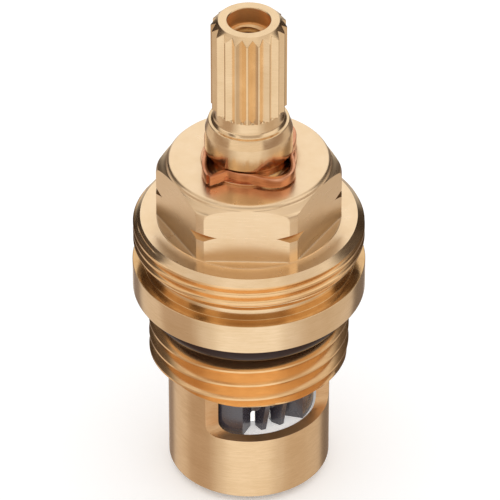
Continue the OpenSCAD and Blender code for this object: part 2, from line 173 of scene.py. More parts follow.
# Gives another material to the faces whose middles pass a test of radius, azimuth and height,
# with lengths in millimetres.
def refinish(piece, material, test):
    mesh = piece.data
    mesh.materials.append(material)
    middles = np.empty(3 * len(mesh.polygons))
    index = np.empty(len(mesh.polygons), np.int32)
    mesh.polygons.foreach_get("center", middles)
    mesh.polygons.foreach_get("material_index", index)
    x, y, z = middles.reshape(-1, 3).T / mm
    index[test(np.hypot(x, y), np.arctan2(x, -y), z)] = len(mesh.materials) - 1
    mesh.polygons.foreach_set("material_index", index)


# Cuts one mesh with others and gives back the result as a new mesh.
def carved(mesh, cutters):
    work = bpy.data.objects.new("blank", mesh)
    bpy.context.scene.collection.objects.link(work)
    tools = []
    for cutter in cutters:
        tool = bpy.data.objects.new("cutter", cutter)
        bpy.context.scene.collection.objects.link(tool)
        cut = work.modifiers.new("cut", "BOOLEAN")
        cut.operation, cut.solver, cut.object = "DIFFERENCE", "EXACT", tool
        tools.append(tool)
    graph = bpy.context.evaluated_depsgraph_get()
    result = bpy.data.meshes.new_from_object(work.evaluated_get(graph))
    result.name = mesh.name
    for used in [work] + tools:
        bpy.data.objects.remove(used)
    return result


# A prism: an outline in one plane carried along the third axis from one end to the other.
# The outline goes round anticlockwise, seen from the far end.
def prismMesh(name, outline, near, far, place):
    outline = np.array(outline, float)
    ring = np.vstack([outline, outline[:1]])
    points = np.stack([place(ring, np.full(len(ring), end)) for end in (near, far)])
    count = len(ring)
    mesh = gridMesh(name, points, [range(count - 1), range(2 * count - 2, count - 1, -1)])
    tidyMesh(mesh, outwards=True)
    return mesh


# Turns points about the axis by an azimuth: x stays to the right of it, and y points away from it.
def turned(points, azimuth):
    turn = np.radians(azimuth)
    x, y, z = points[..., 0], points[..., 1], points[..., 2]
    return np.stack([x * np.cos(turn) - y * np.sin(turn), x * np.sin(turn) + y * np.cos(turn), z], -1)


def paint(code):  # sRGB hex to linear
    value = np.array([int(code[i:i + 2], 16) for i in (1, 3, 5)]) / 255
    return (*np.where(value <= 0.04045, value / 12.92, ((value + 0.055) / 1.055) ** 2.4), 1.0)


def addNode(tree, kind, inputs=None, **settings):
    made = tree.nodes.new(kind)
    for name, value in settings.items():
        setattr(made, name, value)
    for socket, value in (inputs or {}).items():
        if isinstance(value, bpy.types.NodeSocket):
            tree.links.new(value, made.inputs[socket])
        else:
            made.inputs[socket].default_value = value
    return made


def newMaterial(name):
    material = bpy.data.materials.new(name)
    material.use_nodes = True
    tree = material.node_tree
    tree.nodes.clear()
    shader = addNode(tree, "ShaderNodeBsdfPrincipled")
    addNode(tree, "ShaderNodeOutputMaterial", {"Surface": shader.outputs[0]})
    return material, tree, shader


# Noise lies mostly between the outer ends; the inner ends give patches a clearer edge.
noiseEnds = dict(low=0.3, high=0.7, clearLow=0.36, clearHigh=0.64)


# Turned metal: the tool leaves fine rings, so its marks are noise on radius and height alone.
# The rings break up into streaks, which are noise that is drawn out along the rings, and a soft
# noise stands for handling, which dulls and darkens the metal in patches.
def turnedMetal(name, light, dark, roughness, spread, feedMm, depthMm, patchMm=3.0, streaky=0.5):
    material, tree, shader = newMaterial(name)
    place = addNode(tree, "ShaderNodeTexCoord").outputs["Object"]
    flat = addNode(tree, "ShaderNodeVectorMath", {0: place, 1: (1, 1, 0)}, operation="MULTIPLY")
    radius = addNode(tree, "ShaderNodeVectorMath", {0: flat.outputs[0]}, operation="LENGTH")
    height = addNode(tree, "ShaderNodeSeparateXYZ", {0: place})
    rings = addNode(tree, "ShaderNodeCombineXYZ", {0: radius.outputs["Value"], 2: height.outputs[2]})
    marks = addNode(tree, "ShaderNodeTexNoise",
                    {"Vector": rings.outputs[0], "Scale": 1 / (feedMm * mm), "Detail": 3.0,
                     "Roughness": 0.6})
    sideways = 0.09  # makes a streak eleven times as long as it is high
    drawn = addNode(tree, "ShaderNodeVectorMath", {0: place, 1: (sideways, sideways, 1)},
                    operation="MULTIPLY")
    streaks = addNode(tree, "ShaderNodeTexNoise",
                      {"Vector": drawn.outputs[0], "Scale": 1 / (feedMm * mm), "Detail": 2.0,
                       "Roughness": 0.7})
    patches = addNode(tree, "ShaderNodeTexNoise",
                      {"Vector": place, "Scale": 1 / (patchMm * mm), "Detail": 4.0})
    both = addNode(tree, "ShaderNodeMix", {0: streaky, 2: patches.outputs[0], 3: streaks.outputs[0]})
    share = addNode(tree, "ShaderNodeMapRange",
                    {0: both.outputs[0], 1: noiseEnds["clearLow"], 2: noiseEnds["clearHigh"]})
    colour = addNode(tree, "ShaderNodeMix", {0: share.outputs[0], 6: paint(light), 7: paint(dark)},
                     data_type="RGBA")
    shine = addNode(tree, "ShaderNodeMapRange",
                    {0: streaks.outputs[0], 1: noiseEnds["low"], 2: noiseEnds["high"],
                     3: roughness - spread, 4: roughness + spread})
    rough = addNode(tree, "ShaderNodeMath", {0: marks.outputs[0], 1: streaks.outputs[0]}, operation="ADD")
    ridges = addNode(tree, "ShaderNodeBump",
                     {"Height": rough.outputs[0], "Distance": depthMm * mm, "Strength": 1.0})
    shader.inputs["Metallic"].default_value = 1.0
    tree.links.new(colour.outputs[2], shader.inputs["Base Color"])
    tree.links.new(shine.outputs[0], shader.inputs["Roughness"])
    tree.links.new(ridges.outputs[0], shader.inputs["Normal"])
    return material


# Moulded or pressed stuff: a grain that only shows as a slight unevenness of the gloss.
def mouldedStuff(name, light, dark, roughness, spread, grainMm, depthMm, specular=0.5, ior=1.5, glow=0.0):
    material, tree, shader = newMaterial(name)
    place = addNode(tree, "ShaderNodeTexCoord").outputs["Object"]
    grain = addNode(tree, "ShaderNodeTexNoise",
                    {"Vector": place, "Scale": 1 / (grainMm * mm), "Detail": 5.0, "Roughness": 0.6})
    colour = addNode(tree, "ShaderNodeMix", {0: grain.outputs[0], 6: paint(light), 7: paint(dark)},
                     data_type="RGBA")
    shine = addNode(tree, "ShaderNodeMapRange",
                    {0: grain.outputs[0], 1: noiseEnds["low"], 2: noiseEnds["high"],
                     3: roughness - spread, 4: roughness + spread})
    pits = addNode(tree, "ShaderNodeBump",
                   {"Height": grain.outputs[0], "Distance": depthMm * mm, "Strength": 1.0})
    shader.inputs["IOR"].default_value = ior
    shader.inputs["Specular IOR Level"].default_value = specular
    shader.inputs["Emission Color"].default_value = (1, 1, 1, 1)
    shader.inputs["Emission Strength"].default_value = glow
    tree.links.new(colour.outputs[2], shader.inputs["Base Color"])
    tree.links.new(shine.outputs[0], shader.inputs["Roughness"])
    tree.links.new(pits.outputs[0], shader.inputs["Normal"])
    return material


# Lengths in millimetres. The tool marks on the real brass are 0.05 to 0.1 mm apart, which is too
# fine to show, so they are drawn 0.1 to 0.2 mm apart.

# Turned and left bright: a soft mirror with faint rings round it
headBrass = turnedMetal("brightTurnedBrass", light="#F8DCB6", dark="#EED0A6",
                        roughness=0.18, spread=0.04, feedMm=0.16, depthMm=0.0009)
# Brushed with a fine belt: highlights spread along the skirt's rings
skirtBrass = turnedMetal("brushedBrass", light="#F5D5AB", dark="#E9C79B",
                         roughness=0.23, spread=0.04, feedMm=0.14, depthMm=0.0011)
# Cut threads: the brass coloured deeper, a painted reflection of the light that flank throws on flank, with
# orange grooves between pale crests
threadBrass = turnedMetal("threadCutBrass", light="#FCD5A2", dark="#F0C590",
                          roughness=0.19, spread=0.04, feedMm=0.16, depthMm=0.0009)
# Painted shade in the relief under the thread: the brass coloured darker and yellower there, and glossy
shadedReliefBrass = turnedMetal("reliefBrassInPaintedShade", light="#E6C190", dark="#D8AE7A",
                          roughness=0.16, spread=0.04, feedMm=0.16, depthMm=0.0012)
# Milled flats and faced tops: pale, and what they mirror melts into soft gradients
facedBrass = turnedMetal("milledAndFacedBrass", light="#F9DEBA", dark="#F4D7AF",
                         roughness=0.3, spread=0.03, feedMm=0.16, depthMm=0.0004)
# Corner marks cut with a worn edge: dull, and coloured darker and more orange as painted shade in their V
# cuts
markShadeBrass = turnedMetal("roughCutShadedBrass", light="#DFAE76", dark="#C9955E",
                        roughness=0.30, spread=0.05, feedMm=0.14, depthMm=0.0014)
# Finely turned and hobbed: clean bright teeth, with hardly any streaks along them
spindleBrass = turnedMetal("brightTurnedSpindleBrass", light="#F5D8B0", dark="#EACBA1",
                           roughness=0.20, spread=0.04, feedMm=0.10, depthMm=0.0012, streaky=0.3)
# A drilled mouth: a dull wall that light turns orange as it bounces about
boredBrass = turnedMetal("boredBrass", light="#FBD6A6", dark="#EEC491",
                         roughness=0.42, spread=0.05, feedMm=0.16, depthMm=0.0008)
# Slots cut by an end mill: matt faces that stay light in the shade
windowBrass = turnedMetal("slotMilledBrass", light="#F4D0A4", dark="#E6BC8C",
                          roughness=0.48, spread=0.05, feedMm=0.16, depthMm=0.001)
# A tapped hole: painted shade, its brass coloured brown and dim for the shade deep inside it
shadedHoleBrass = turnedMetal("shadedTappedBrass", light="#C09058", dark="#A07440",
                          roughness=0.34, spread=0.06, feedMm=0.16, depthMm=0.001)
# A ring cut off a tube: plain brass, neither bright nor dull
ringBrass = turnedMetal("plainTurnedBrass", light="#E8C590", dark="#D9B078",
                        roughness=0.28, spread=0.06, feedMm=0.16, depthMm=0.001)
# Rolled spring bronze: pinker than the brass, with smooth coppery reflections
clipBronze = turnedMetal("rolledSpringBronze", light="#E6AA86", dark="#C98764",
                         roughness=0.22, spread=0.05, feedMm=0.15, depthMm=0.0012)
# Stamped bronze: paler than the strip, with the same pink
washerBronze = turnedMetal("stampedBronze", light="#E9BC98", dark="#D9A580",
                           roughness=0.24, spread=0.05, feedMm=0.2, depthMm=0.001)
# Moulded nitrile rubber: nearly black brown, with the smooth sheen of its mould
bodyRubber = mouldedStuff("mouldedNitrileRubber", light="#35201B", dark="#281713",
                          roughness=0.13, spread=0.03, grainMm=0.6, depthMm=0.0015, specular=0.25)
# Moulded black rubber of the hidden seals: matt
blackRubber = mouldedStuff("mouldedBlackRubber", light="#221F1E", dark="#191716",
                           roughness=0.42, spread=0.08, grainMm=0.6, depthMm=0.003)
# Lapped alumina: pure white and translucent; its glow is painted light, which keeps it white where it lies in
# shade inside the head
whiteCeramic = mouldedStuff("lappedWhiteAlumina", light="#FFFEFC", dark="#F8F6F3",
                            roughness=0.25, spread=0.05, grainMm=0.4, depthMm=0.0005, glow=0.4)
# Lapped grey ceramic: dark and very smooth, with glassy highlights on its ground edges
greyCeramic = mouldedStuff("lappedGreyCeramic", light="#453F48", dark="#3B363E",
                           roughness=0.26, spread=0.03, grainMm=0.3, depthMm=0.0002, ior=1.9)
# Moulded acetal: ivory and waxy
slidePlastic = mouldedStuff("mouldedAcetal", light="#EDEAE0", dark="#E2DED2",
                            roughness=0.4, spread=0.06, grainMm=0.5, depthMm=0.001)
print("materials made")

# Radii and heights in millimetres, from the seat of the tap up
head = dict(skirtR=8.5, skirtZ=0.6, skirtBreak=0.35, skirtRows=(4.0, 6.0, 8.0, 10.0, 12.0, 13.5),
            pocketR=7.3, pocketBreak=0.3, pocketLow=3.0, pocketHigh=8.0, threadLow=14.1, threadHigh=19.942,
            rootR=9.2, grooveR=7.83, bandZ=22.942, bandTop=26.342, bandR=12.1, bandEdge=0.3,
            reliefR=10.95, reliefRound=0.08, reliefShadeZ=27.2, coneZ=27.642, coneEase=0.05, coneTop=29.0,
            rimZ=31.292, rimStep=0.01, rimRows=6, flangeR=11.25, flangeZ=31.842, flangeSeam=0.02,
            faceR=10.4, faceEdge=0.04, ledgeSeam=0.03, topMiddleR=6.5, topSeam=0.1, topEdge=0.03,
            chamberZ=12.5, chamberR=6.6, shoulderZ=16.9, boreR=4.53, boreBreak=0.15,
            boreHigh=30.0, boreLow=20.0, edge=0.1)

# A thread's crest, root and ease are shares of its pitch. Its ends are broken by small cones.
lowerThread = dict(radius=10.4775, pitch=1.814, depth=1.162, crestZ=15.52, perTurn=16, crest=0.12,
                   root=0.16, ease=0.2, lowBreak=0.35, lowR=9.9, highBreak=0.3, highR=10.3, fullR=10.5)
upperThread = dict(radius=12.0, pitch=1.0, depth=0.45, crestZ=30.23, perTurn=16, crest=0.3,
                   root=0.12, ease=0.15, lastGroove=1.0, runOut=(np.radians(-60), np.radians(-25)))
# The chamfer's points give radius and height, from the flats' corners up to the top face.
hexagon = dict(flat=8.5, corner=9.56, turn=-1.5, footZ=31.992, cove=0.12, top=38.942, topR=8.05,
               chamfer=((9.56, 37.1), (9.5, 37.55), (9.35, 37.87), (9.0, 38.12), (8.52, 38.4),
                        (8.47, 38.62), (8.36, 38.82), (8.2, 38.92), (8.05, 38.942)),
               chamferSoft=0.2, coveEnd=0.04, creaseGap=0.05,
               markZ=34.942, markHalf=0.43, markDeep=0.52, markReach=0.6)
windows = dict(turn=25.0, flat=4.58, sill=8.35, top=13.25, corner=1.2, cornerSteps=9, reach=12.0)
keyway = dict(turn=115.0, half=1.65, inside=5.0, radius=7.75, low=-1.0, top=7.95)
stopSlot = dict(start=-1.0, end=141.0, steps=60, radius=7.2, inside=6.4, low=11.5, high=16.9)


# Azimuths of the head's columns: evenly spaced, with one at each edge of the flats and one close
# on either side of it, and none of the even ones crowding those.
def headColumns(count=240, beside=0.3, clear=0.5, seam=0.2):
    even = np.linspace(-180, 180, count, endpoint=False)
    half = np.degrees(np.arccos(hexagon["flat"] / hexagon["corner"]))
    middles = hexagon["turn"] + 60.0 * np.arange(-3, 3)
    edges = (middles[:, None] + np.array([-half, half])[None, :]).ravel()
    close = np.concatenate([edges - beside, edges, edges + beside])
    close = (close + 180) % 360 - 180
    far = np.abs(((even[:, None] - close[None, :]) + 180) % 360 - 180).min(1) > clear
    inner = np.unique(np.concatenate([even[far], close]))
    inner = inner[inner > -180 + seam]
    return np.radians(np.concatenate([[-180.0], inner, [180.0]]))


# Angle from the middle of the nearest flat, in radians.
def flatAway(azimuth):
    return np.radians((np.degrees(azimuth) - hexagon["turn"] + 30) % 60 - 30)


# Rows of the hexagon: the flats are straight chords cut off by the corners' circle, on a small
# cove; the chamfer's crease climbs where the chords come nearer to the axis; and each corner
# mark is a V that closes where the flats leave its depth.
def hexagonRows(azimuth):
    spec = hexagon
    flatR = np.minimum(spec["corner"], spec["flat"] / np.cos(flatAway(azimuth)))
    chamfer = softened(spec["chamfer"], spec["chamferSoft"], 3)
    crease = np.interp(-flatR, -chamfer[:, 0], chamfer[:, 1])
    markOpen = spec["markHalf"] * np.clip(1 - (spec["corner"] - flatR) / spec["markDeep"], 0, 1)
    floor = np.minimum(flatR, spec["corner"] - spec["markDeep"])
    foot = np.full_like(azimuth, spec["footZ"])
    mark = np.full_like(azimuth, spec["markZ"])
    cove = np.clip(spec["corner"] - spec["coveEnd"] - flatR, 0, spec["cove"])
    rows = [(flatR + cove * (1 - np.sin(turn)), foot + cove * (1 - np.cos(turn)))
            for turn in np.linspace(0, np.pi / 2, 5)]
    below, above = mark - spec["markReach"], mark + spec["markReach"]
    rows += [(flatR, foot + share * (below - foot)) for share in (0.25, 0.5, 0.75, 1)]
    rows += [(flatR, mark - markOpen), (floor, mark), (flatR, mark + markOpen)]
    rows += [(flatR, above + share * (crease - spec["creaseGap"] - above)) for share in (0, 0.33, 0.66, 1)]
    for level in chamfer[:, 1]:
        z = np.maximum(crease, level)
        rows.append((np.interp(z, chamfer[:, 1], chamfer[:, 0]), z))
    return rows


# The head's profile from the pocket out over the foot, up the outside and down through the bore.
def headMesh():
    h, t = head, lowerThread
    azimuth = headColumns()
    wide = len(azimuth)
    rows = turnedRows(softened([(h["pocketR"], h["pocketLow"]),
                                (h["pocketR"], h["skirtZ"] + h["pocketBreak"]),
                                (h["pocketR"] + h["pocketBreak"], h["skirtZ"]),
                                (h["skirtR"] - h["skirtBreak"], h["skirtZ"]),
                                (h["skirtR"], h["skirtZ"] + h["skirtBreak"]),
                                (h["skirtR"], h["skirtRows"][0])], h["edge"]), wide)
    rows += turnedRows([(h["skirtR"], z) for z in h["skirtRows"][1:]], wide)
    rows += turnedRows(softened([(h["skirtR"], h["threadLow"] - h["edge"]), (h["skirtR"], h["threadLow"]),
                                 (h["rootR"], h["threadLow"])], h["edge"]), wide)
    ends = [h["threadLow"], h["threadLow"] + t["lowBreak"], h["threadHigh"] - t["highBreak"], h["threadHigh"]]
    rows += threadRows(azimuth, t, h["threadLow"], h["threadHigh"],
                       (ends, [t["lowR"], t["fullR"], t["fullR"], t["highR"]]))
    rows += turnedRows(softened([(h["rootR"], h["threadHigh"]), (h["grooveR"], h["threadHigh"]),
                                 (h["grooveR"], h["bandZ"]), (h["bandR"], h["bandZ"]),
                                 (h["bandR"], (h["bandZ"] + h["bandTop"]) / 2),
                                 (h["bandR"], h["bandTop"])], h["edge"])[:-1], wide)
    rows += turnedRows(softened([(h["bandR"], h["bandTop"] - h["bandEdge"]), (h["bandR"], h["bandTop"]),
                                 (h["reliefR"], h["bandTop"]), (h["reliefR"], h["reliefShadeZ"]),
                                 (h["reliefR"], h["coneZ"] - h["coneEase"])], h["reliefRound"]), wide)
    crestR = upperThread["radius"]
    reach = ([h["coneZ"], h["coneTop"], h["rimZ"], h["flangeZ"]],
             [h["reliefR"], crestR, crestR, h["flangeR"]])
    rows += threadRows(azimuth, upperThread, h["coneZ"], h["rimZ"], reach)
    for level in np.linspace(h["rimZ"] + h["rimStep"], h["flangeZ"], h["rimRows"]):  # the chamfer over it
        z = np.full(wide, level)
        rows.append((threadRadius(azimuth, upperThread, z, reach), z))
    ledgeZ = hexagon["footZ"]
    rows += turnedRows(softened([(h["flangeR"] - h["flangeSeam"], h["flangeZ"]), (h["faceR"], h["flangeZ"]),
                                 (hexagon["corner"], h["flangeZ"]), (hexagon["corner"], ledgeZ),
                                 (hexagon["corner"] - h["ledgeSeam"], ledgeZ)], h["faceEdge"], 2), wide)
    rows += hexagonRows(azimuth)
    top = hexagon["top"]
    rows += turnedRows(softened([(hexagon["topR"] - h["topSeam"], top), (h["topMiddleR"], top),
                                 (h["boreR"] + h["boreBreak"], top), (h["boreR"], top - h["boreBreak"]),
                                 (h["boreR"], h["boreHigh"])], h["topEdge"], 2), wide)
    rows += turnedRows([(h["boreR"], h["boreLow"]), (h["boreR"], h["shoulderZ"]),
                        (h["chamberR"], h["shoulderZ"]), (h["chamberR"], h["chamberZ"]),
                        (h["pocketR"], h["chamberZ"]), (h["pocketR"], h["pocketHigh"])], wide)
    return turnedMesh("headBody", rows, azimuth)


# The flats that open the windows: across each side of the skirt, a box whose lower inner edge is
# rounded by a quarter circle.
def windowCutters():
    w = windows
    arc = np.linspace(0, np.pi / 2, w["cornerSteps"])
    low = np.stack([w["flat"] + w["corner"] * (1 - np.sin(arc)),
                    w["sill"] + w["corner"] * (1 - np.cos(arc))], -1)
    outline = np.vstack([[[w["reach"], w["sill"]]], low, [[w["flat"], w["top"]], [w["reach"], w["top"]]]])
    for azimuth in (w["turn"], w["turn"] + 180):
        yield prismMesh("window", outline, -w["reach"], w["reach"],
                        lambda ring, across: turned(np.stack([across, -ring[:, 0], ring[:, 1]], -1), azimuth))


# Two straight keyways in the pocket's wall, opposite each other, for the fixed disc's keys.
def keywayCutters():
    k = keyway
    outline = [(-k["half"], k["inside"]), (k["half"], k["inside"]),
               (k["half"], k["radius"]), (-k["half"], k["radius"])]
    for azimuth in (k["turn"], k["turn"] + 180):
        yield prismMesh("keyway", outline, k["low"], k["top"],
                        lambda ring, up: turned(np.stack([ring[:, 0], -ring[:, 1], up], -1), azimuth))


# The slot that the stop lug runs in: a piece of a ring between two azimuths.
def stopSlotCutter():
    s = stopSlot
    sweep = np.radians(np.linspace(s["start"], s["end"], s["steps"]))
    arc = np.stack([np.sin(sweep), -np.cos(sweep)], -1)
    outline = np.vstack([s["inside"] * arc, s["radius"] * arc[::-1]])
    return prismMesh("stopSlot", outline, s["low"], s["high"],
                     lambda ring, up: np.stack([ring[:, 0], ring[:, 1], up], -1))


mesh = carved(headMesh(), [*windowCutters(), *keywayCutters(), stopSlotCutter()])
headBody = addPiece("headBody", mesh, headBrass, "head", "head_body", "head_brass")
# How far each finish's zone stays off the edges round it, or reaches past them
zone = dict(margin=0.02, hair=0.01, bore=0.1, threadUnder=0.2, threadFoot=0.05, skirtOff=0.1,
            markUnder=0.14, stepOver=0.05)
outsideR = head["boreR"] + zone["bore"]
refinish(headBody, facedBrass, lambda r, turn, z:
         (z > head["flangeZ"] - zone["margin"]) & (r > outsideR))
# Painted reflection: the threads get the deeper coloured brass
refinish(headBody, threadBrass, lambda r, turn, z:
         ((z > head["coneTop"] - zone["threadUnder"]) & (z < head["rimZ"] - zone["hair"])
          & (r > head["reliefR"]))
         | ((z > head["threadLow"] + zone["threadFoot"]) & (z < head["threadHigh"] - zone["margin"])
            & (r > head["rootR"] - zone["threadUnder"])))
# Painted shade: the relief between the band and the thread gets the darker brass
refinish(headBody, shadedReliefBrass, lambda r, turn, z:
         (z > head["bandTop"] - zone["hair"]) & (z < head["reliefShadeZ"] - zone["margin"]) & (r > outsideR))
refinish(headBody, skirtBrass, lambda r, turn, z:
         (z < head["threadLow"] - zone["skirtOff"]) & (r > head["pocketR"] + zone["margin"]))
refinish(headBody, windowBrass, lambda r, turn, z:
         ((np.abs(z - windows["sill"]) < zone["hair"]) & (r > windows["flat"]))
         | ((z > windows["sill"]) & (z < windows["top"] + zone["hair"])
            & (r > head["pocketR"] + zone["margin"]) & (r < head["skirtR"] - zone["margin"])))
# Painted shade: the corner marks' V cuts get the darker brass
refinish(headBody, markShadeBrass, lambda r, turn, z:
         (np.abs(z - hexagon["markZ"]) < hexagon["markHalf"])
         & (r > hexagon["corner"] - hexagon["markDeep"] - zone["markUnder"])
         & (r < hexagon["corner"] - zone["margin"])
         & (r * np.cos(flatAway(turn)) < hexagon["flat"] - zone["margin"]))
print("head body made:", len(mesh.polygons), "faces")

# Radii and heights of the spindle, its teeth, the mouth of its hole and the screw thread in it.
# rimEnd and shelfStart are steps inwards and up from the rim.
shaft = dict(tongueHalf=2.0, tongueZ=10.5, footZ=13.1, footR=6.4, footTop=16.1, footBreak=0.15,
             lugR=7.1, lugTurn=115.0, lugHalf=25.0, shaftR=4.5, ringR=3.04, rings=(22.9, 28.4),
             ringHalf=0.9, ringReach=2.0, upperZ=34.0, clipZ=39.142, clipR=4.0, collarZ=40.392,
             coneZ=42.942, rimZ=43.992, rimR=4.16, rimEnd=(0.1, 0.025), shelfStart=(0.15, 0.035),
             shelfR=3.84, shelfZ=44.07, shelfRound=0.15, neckZ=44.34, neckR=3.56, neckFlare=0.05,
             neckEnd=0.3, splineZ=45.742, top=56.142, edge=0.08)
spline = dict(teeth=20, turn=-2.7, crestR=3.875, rootR=3.37, crestHalf=1.0, rootHalf=0.0, breakH=0.72,
              fadeLow=-0.12, fadeHigh=0.05, rows=(0.3, 0.5, 0.75), edge=0.04, ease=0.03)
mouth = dict(radius=2.2, depth=1.9, stepR=1.95, rim=0.08, faceR=2.7, stepEdge=0.05, brightLead=0.4)
screwThread = dict(radius=1.65, pitch=0.7, depth=0.32, crestZ=53.8, perTurn=8, crest=0.16, root=0.12,
                   ease=0.2, length=8.0, lead=0.35, endR=1.6, tipR=1.5, tip=0.6)


# Azimuths of the spindle's columns: each tooth has its crest's edges, flanks and root.
def spindleColumns():
    s = spline
    step = 360 / s["teeth"]
    flank = np.linspace(s["crestHalf"], step / 2 - s["rootHalf"], 4)
    one = np.concatenate([[-s["crestHalf"], 0], flank, [step / 2], step - flank[:0:-1]])
    every = s["turn"] - 180 + one[None, :] + step * np.arange(s["teeth"])[:, None]
    columns = np.unique(np.round(every.ravel(), 6))
    return np.radians(np.append(columns, columns[0] + 360))


# Radius of the toothed outline: straight chords between the crest's circle and the root's.
def toothRadius(azimuth):
    s = spline
    step = 360 / s["teeth"]
    away = np.abs((np.degrees(azimuth) - s["turn"] + step / 2) % step - step / 2)
    low, high = np.radians(s["crestHalf"]), np.radians(step / 2 - s["rootHalf"])
    at = np.clip(np.radians(away), low, high)
    return (s["crestR"] * s["rootR"] * np.sin(high - low)
            / (s["crestR"] * np.sin(at - low) + s["rootR"] * np.sin(high - at)))


# The spindle from its foot up: a tongue between two chords, a round flange with a wider arc for
# the stop lug, turned zones, the toothed outline, and down again inside the screw hole.
def spindleMesh():
    s = shaft
    azimuth = spindleColumns()
    wide = len(azimuth)
    degrees = (np.degrees(azimuth) + 180) % 360 - 180
    across = np.abs(np.sin(azimuth - np.radians(s["lugTurn"])))
    tongue = np.minimum(s["footR"], s["tongueHalf"] / np.maximum(across, 1e-3))
    lug = np.where(np.abs((degrees - s["lugTurn"] + 180) % 360 - 180) < s["lugHalf"], s["lugR"], s["footR"])
    flat, cut = np.zeros(wide), s["footBreak"]
    rows = [(flat, flat + s["tongueZ"]), (tongue - cut, flat + s["tongueZ"]),
            (tongue, flat + s["tongueZ"] + cut), (tongue, flat + s["footZ"]),
            (lug - cut, flat + s["footZ"]), (lug, flat + s["footZ"] + cut),
            (lug, flat + s["footTop"] - cut), (lug - cut, flat + s["footTop"]),
            (s["shaftR"] + flat, flat + s["footTop"])]
    for z in s["rings"]:
        rows += turnedRows(softened([(s["shaftR"], z - s["ringReach"]), (s["shaftR"], z - s["ringHalf"]),
                                     (s["ringR"], z - s["ringHalf"]), (s["ringR"], z + s["ringHalf"]),
                                     (s["shaftR"], z + s["ringHalf"]), (s["shaftR"], z + s["ringReach"])],
                                    s["edge"], 3), wide)
    rows += turnedRows(softened([(s["shaftR"], s["upperZ"]), (s["shaftR"], s["clipZ"]),
                                 (s["clipR"], s["clipZ"]), (s["clipR"], s["collarZ"]),
                                 (s["shaftR"], s["collarZ"]), (s["shaftR"], s["coneZ"]),
                                 (s["rimR"], s["rimZ"]),
                                 (s["rimR"] - s["rimEnd"][0], s["rimZ"] + s["rimEnd"][1])], s["edge"]), wide)
    rows += turnedRows(softened([(s["rimR"] - s["shelfStart"][0], s["rimZ"] + s["shelfStart"][1]),
                                 (s["shelfR"], s["shelfZ"]), (s["neckR"] + s["neckFlare"], s["neckZ"]),
                                 (s["neckR"], s["neckZ"] + s["neckEnd"]),
                                 (s["neckR"], s["splineZ"] - s["neckEnd"])], s["shelfRound"]), wide)
    tooth = toothRadius(azimuth)
    base = s["splineZ"]
    low, high = spline["fadeLow"], spline["fadeHigh"]
    for share in np.linspace(0, 1, 3):  # the teeth end in a short slope above the neck
        rows.append((s["neckR"] + (tooth - s["neckR"]) * share, flat + base + low + (high - low) * share))
    rows += [(tooth, flat + base + share * (s["top"] - spline["breakH"] - base)) for share in spline["rows"]]
    drop = s["top"] - spline["breakH"] - (tooth - spline["crestR"])
    rows += [(tooth, drop - spline["edge"]), (tooth - spline["ease"], drop + spline["ease"])]
    topR = spline["crestR"] - spline["breakH"]
    rows += [(topR + spline["edge"] + flat, flat + s["top"] - spline["edge"]),
             (topR - spline["edge"] + flat, flat + s["top"])]
    m, t = mouth, screwThread
    screwTop = s["top"] - m["depth"]
    rows += turnedRows(softened([(m["faceR"], s["top"]), (m["radius"] + m["rim"], s["top"]),
                                 (m["radius"], s["top"] - m["rim"]),
                                 (m["radius"], screwTop), (m["stepR"], screwTop),
                                 (m["stepR"], screwTop - m["stepEdge"])], m["stepEdge"], 3)[:-1], wide)
    screwEnd = screwTop - t["length"]
    down = threadRows(azimuth, t, screwEnd, screwTop,
                      ([screwTop - t["lead"], screwTop], [t["endR"], m["stepR"]]), outside=False)
    rows += down[::-1]
    rows += [(t["tipR"] + flat, flat + screwEnd), (flat, flat + screwEnd - t["tip"])]
    return turnedMesh("splinedSpindle", rows, azimuth, loop=False)


mesh = spindleMesh()
splinedSpindle = addPiece("splinedSpindle", mesh, spindleBrass, "spindle_group", "spindle",
                          "spindle_brass", 20)
leadZ = shaft["top"] - mouth["depth"] - mouth["brightLead"]
holeZ = leadZ - screwThread["length"] - screwThread["tip"]
refinish(splinedSpindle, boredBrass, lambda r, turn, z: (r < mouth["radius"] + zone["margin"]) & (z > leadZ))
# Painted shade: the screw thread deep in the hole gets the brown, dim brass
refinish(splinedSpindle, shadedHoleBrass, lambda r, turn, z:
         (r < mouth["stepR"] + zone["stepOver"]) & (z < leadZ) & (z > holeZ))
print("spindle made:", len(mesh.polygons), "faces")

# The wave gives azimuths in degrees, and how far the strip's inner face stands off the groove there
clip = dict(low=39.15, tall=1.14, thick=0.48, inner=4.01, gapMiddle=-40.3, gap=1.8, steps=300, round=0.045,
            wave=((-51, 4.0), (-27, 0.12), (-4, 0.25), (37, 1.9), (84, 0), (142, 1.6), (178, 0), (208, 1.6),
                  (268, 0.05), (345, 2.7)))


# Distance of the strip's inner face from the axis: raised cosines from each touching point up
# to the next lobe and down again, cut off at the gap.
def clipReach(degrees):
    knots, rise = np.array(clip["wave"], float).T
    a = np.where(degrees < knots[0], degrees + 360, degrees)
    upper = np.clip(np.searchsorted(knots, a, side="right"), 1, len(knots) - 1)
    low, high = knots[upper - 1], knots[upper]
    share = 0.5 - 0.5 * np.cos(np.pi * (a - low) / (high - low))
    return clip["inner"] + rise[upper - 1] + (rise[upper] - rise[upper - 1]) * share


